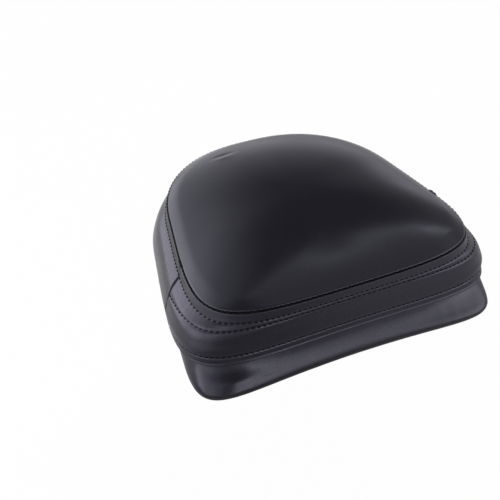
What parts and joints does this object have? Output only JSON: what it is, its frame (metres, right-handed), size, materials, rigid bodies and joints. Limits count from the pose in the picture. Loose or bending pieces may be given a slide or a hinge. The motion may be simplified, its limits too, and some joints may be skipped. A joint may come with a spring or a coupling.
{
  "type": "sissy bar backrest pad",
  "caption": "D-shaped upholstered backrest pad in black synthetic leather, with a crowned face, stitched side bands and a stapled skirt over a board.",
  "frame": {"origin": "on the surface that the pad lies on, under the middle of its outline", "axes": "+X along the straight lower edge, +Y towards the apex of the arch, +Z out of the cushioned face"},
  "size_m": [0.2804, 0.2379, 0.0974],
  "materials": {
    "vinyl": "black synthetic leather, satin, fine grain",
    "foam": "polyurethane foam",
    "board": "plywood, unfinished",
    "zinc_plate": "zinc plated steel"
  },
  "bodies": {
    "root": {"face_panel": "vinyl", "arch_band": "vinyl", "front_band": "vinyl", "skirt": "vinyl", "foam_core": "foam", "back_board": "board", "tee_nut_1": "zinc_plate", "tee_nut_2": "zinc_plate", "tee_nut_3": "zinc_plate", "tee_nut_4": "zinc_plate"}
  },
  "joints": []
}
